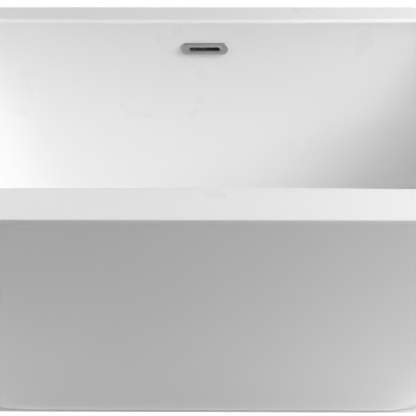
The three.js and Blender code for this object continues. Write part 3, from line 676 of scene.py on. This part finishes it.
def drain_flange():
    metal = LOOKS["turned_nickel"]
    shell = turned("drain_flange_shell", [
        (FLANGE_BORE, FLANGE_END), (FLANGE_TUBE - 0.0008, FLANGE_END),
        *threaded(FLANGE_TUBE - 0.0008, FLANGE_TUBE, FLANGE_END + 0.001, FLANGE_Z - 0.006, 0.0018),
        (FLANGE_TUBE, FLANGE_Z - 0.003), (FLANGE_TUBE, FLANGE_Z), (0.035, FLANGE_Z),
        (0.035, FLANGE_TOP - 0.001), (0.034, FLANGE_TOP), (0.029, FLANGE_TOP),
        (FLANGE_BORE, FLANGE_Z - 0.0015),
    ], metal, ON_DRAIN, radius=0.0006)
    middle = ON_DRAIN + Vector((0, 0, (CROSS_LOW + CROSS_HIGH) / 2))
    long_bar = bar("cross_x", (CROSS_SPAN, CROSS_BAR, CROSS_BAR), middle, metal)
    cross_bar = bar("cross_y", (CROSS_BAR, CROSS_SPAN, CROSS_BAR), middle, metal)
    boss = turned("boss", [
        (0, CROSS_LOW), (CROSS_BOSS, CROSS_LOW), (CROSS_BOSS, CROSS_HIGH), (CROSS_PIN, CROSS_HIGH),
        (CROSS_PIN, CROSS_PIN_TOP), (0, CROSS_PIN_TOP)], metal, ON_DRAIN)
    return show(joined("drain_flange_skin", shell, long_bar, cross_bar, boss), "brushed_nickel")


def stopper():
    top, hub = FLANGE_TOP, FLANGE_TOP - 0.007
    cap = turned("stopper_cap_skin", [
        (0, hub), (0.017, hub), (0.017, top + 0.0008), (0.029, top + 0.0008), (0.030, top + 0.0016),
        (0.0294, top + 0.0030), (0.026, top + 0.0037), (0.018, top + 0.0043), (0.009, top + 0.0047),
        (0, top + 0.0048)], LOOKS["turned_nickel"], LIFTED, radius=0.0012)
    show(cap, "brushed_nickel", "stopper")
    seal = turned("stopper_seal_skin", [
        (0.0173, top - 0.003), (0.021, top - 0.0022), (0.024, top - 0.0002), (0.024, top + 0.0005),
        (0.0173, top + 0.0005)], LOOKS["black_rubber"], LIFTED, radius=0.0004)
    show(seal, "black_rubber", "stopper")
    plunger = turned("stopper_plunger_skin", [
        (0, 0.1562), (0.0068, 0.1562), (0.0068, 0.1576), (0.004, 0.1576), (0.004, hub - GAP), (0, hub - GAP)],
        LOOKS["brass"], LIFTED, radius=0.0003)
    show(plunger, "brass", "stopper")
    barrel = turned("stopper_barrel_skin", [
        (0.0033, 0.1473), (0.009, 0.1473), (0.009, 0.1685), (0.0044, 0.1685), (0.0044, 0.1675),
        (0.0074, 0.1675), (0.0074, 0.1535), (0, 0.1535), (0, 0.1513), (0.0033, 0.1513)],
        LOOKS["brass"], ON_DRAIN, radius=0.0003)
    show(barrel, "brass")


def tube_along(name, path, sides, radius_at, look):
    """A closed tube along a list of points. radius_at(i) gives its radius at each."""
    rings = []
    side = Vector((1, 0, 0))
    for i, point in enumerate(path):
        ahead = (path[min(i + 1, len(path) - 1)] - path[max(i - 1, 0)]).normalized()
        side = (side - ahead * side.dot(ahead)).normalized()
        up = ahead.cross(side)
        rings.append([point + (side * math.cos(a) + up * math.sin(a)) * radius_at(i)
                      for a in (2 * math.pi * k / sides for k in range(sides))])
    points = [p for points in rings for p in points]
    count = len(points)
    ends = [tuple(range(sides)), tuple(range(count - 1, count - sides - 1, -1))]
    return mesh_object(name, points, loft_faces(len(rings), sides, closed=False) + ends, look)


SPRING_RADIUS, SPRING_WIRE, SPRING_TURNS = 0.0056, 0.0004, 5


def stopper_spring():
    low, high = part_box("stopper_spring")
    bottom, top = low.z + SPRING_WIRE, high.z - SPRING_WIRE
    steps = 24 * SPRING_TURNS
    path = []
    for i in range(steps + 1):
        angle = 2 * math.pi * SPRING_TURNS * i / steps
        path.append(ON_DRAIN + Vector((SPRING_RADIUS * math.cos(angle), SPRING_RADIUS * math.sin(angle),
                                       bottom + (top - bottom) * i / steps)))
    spring = tube_along("stopper_spring_skin", path, 10, lambda i: SPRING_WIRE, LOOKS["zinc_steel"])
    show(spring, "zinc_steel")
    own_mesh(spring)


# ---------------------------------------------------------------- CAD nodes that keep their shape

def dress_cad_nodes():
    """Gives each CAD node still shown the material of its slot."""
    for part in frame["record"]["subparts"]:
        node = frame["nodes"][part["node"]]
        if node.hide_render:
            continue
        node.data.materials.clear()
        node.data.materials.append(LOOKS[part["material_slot"].replace("galvanized_steel", "galvanized")])


# ---------------------------------------------------------------- room, light and camera

def area_light(name, position, target, size, energy, size_y=None):
    data = bpy.data.lights.new(name, "AREA")
    data.shape = "RECTANGLE"
    data.size, data.size_y, data.energy = size, size_y or size, energy
    obj = bpy.data.objects.new(name, data)
    obj.location = position
    obj.rotation_euler = (Vector(target) - Vector(position)).to_track_quat("-Z", "Y").to_euler()
    bpy.context.scene.collection.objects.link(obj)
    return obj


# The floor's bands, as (y where it ends, how brightly it glows): painted light. The floor glows most behind
# the tub and in a narrow strip just in front of its base, where the glow paints out the tub's shadow; they
# make it white in front of the tub.
FLOOR_PAINTED_GLOW = ((-0.62, 0.0), (-0.326, 0.24), (-0.317, 0.85), (0.35, 0.1), (12.0, 1.15))
FLOOR_HALF = 12.0

AIM = Vector((0, 0, 0.5))               # what the round lights face

# Soft lights round the tub: (name, azimuth from +X, elevation, distance, size, watts).
LIGHTS = (
    ("sun_side", 0, 35, 4.0, 1.8, 86),
    ("key_low", 0, 25, 2.2, 0.6, 11.5),
    ("key_high", 5, 48, 2.2, 0.8, 9),
    ("key_front", -25, 25, 2.2, 0.6, 6),
    ("front", -50, 25, 2.2, 0.6, 6.5),
    ("fill", 180, 40, 2.2, 0.7, 6.2),
)


def round_light(name, azimuth, elevation, distance, size, watts):
    across, up = math.radians(azimuth), math.radians(elevation)
    offset = Vector((math.cos(up) * math.cos(across), math.cos(up) * math.sin(across), math.sin(up)))
    area_light(name, AIM + offset * distance, AIM, size, watts)


def studio():
    mesh = bpy.data.meshes.new("floor")
    points, faces, glows = [], [], []
    low = -FLOOR_HALF
    for end, _ in FLOOR_PAINTED_GLOW:
        k = len(points)
        points += [(-FLOOR_HALF, low, 0), (FLOOR_HALF, low, 0), (FLOOR_HALF, end, 0), (-FLOOR_HALF, end, 0)]
        faces.append((k, k + 1, k + 2, k + 3))
        low = end
    mesh.from_pydata(points, [], faces)
    floor = bpy.data.objects.new("floor", mesh)
    bpy.context.scene.collection.objects.link(floor)
    for i, (_, glow) in enumerate(FLOOR_PAINTED_GLOW):
        # Painted light: each band glows at its own strength to fill the shade on the floor.
        look = Look("floor_%d" % i, (0.7, 0.7, 0.7), 0.9)
        look.surface.inputs["Emission Color"].default_value = (1, 1, 1, 1)
        look.surface.inputs["Emission Strength"].default_value = glow
        mesh.materials.append(look.material)
        mesh.polygons[i].material_index = i
    world = bpy.data.worlds.new("studio")
    world.use_nodes = True
    world.node_tree.nodes["Background"].inputs["Color"].default_value = (1, 1, 1, 1)
    world.node_tree.nodes["Background"].inputs["Strength"].default_value = 0.08
    bpy.context.scene.world = world
    for light in LIGHTS:
        round_light(*light)
    area_light("overhead_left", (-1.2, -0.2, 1.4), (-1.2, -0.2, 0), 0.6, 5.7, 0.35)
    for side in (-1, 1):
        area_light("low_%d" % (side + 1), (side, -0.65, 0.35), (side * 0.35, -0.35, 0.3), 0.4, 1.2)


CAMERA_BACK, CAMERA_UP, CAMERA_SIDE = 0.677, 0.599, 0.017   # from the rim's front edge
CAMERA_PITCH_DEG, CAMERA_YAW_DEG, CAMERA_ROLL_DEG = 40.4, 0.45, -0.2
CAMERA_FOCUS_PX, FRAME_PX = 633.5, 416
SENSOR_MM = 36


def camera():
    data = bpy.data.cameras.new("camera")
    data.sensor_width = SENSOR_MM
    data.lens = CAMERA_FOCUS_PX / FRAME_PX * SENSOR_MM
    data.clip_start = 0.05
    obj = bpy.data.objects.new("camera", data)
    obj.location = (CAMERA_SIDE, CAD_LOW.y - CAMERA_BACK, HEIGHT + CAMERA_UP)
    obj.rotation_euler = (Matrix.Rotation(math.radians(CAMERA_YAW_DEG), 3, "Z")
                          @ Matrix.Rotation(math.radians(90 - CAMERA_PITCH_DEG), 3, "X")
                          @ Matrix.Rotation(math.radians(CAMERA_ROLL_DEG), 3, "Z")).to_euler()
    bpy.context.scene.collection.objects.link(obj)
    bpy.context.scene.camera = obj


camera()
studio()
bpy.context.scene.view_settings.view_transform = "Standard"
basin()
basin_backing()
outer_skirt()
skirt_backing()
overflow_cover()
drain_flange()
stopper()
stopper_spring()
dress_cad_nodes()
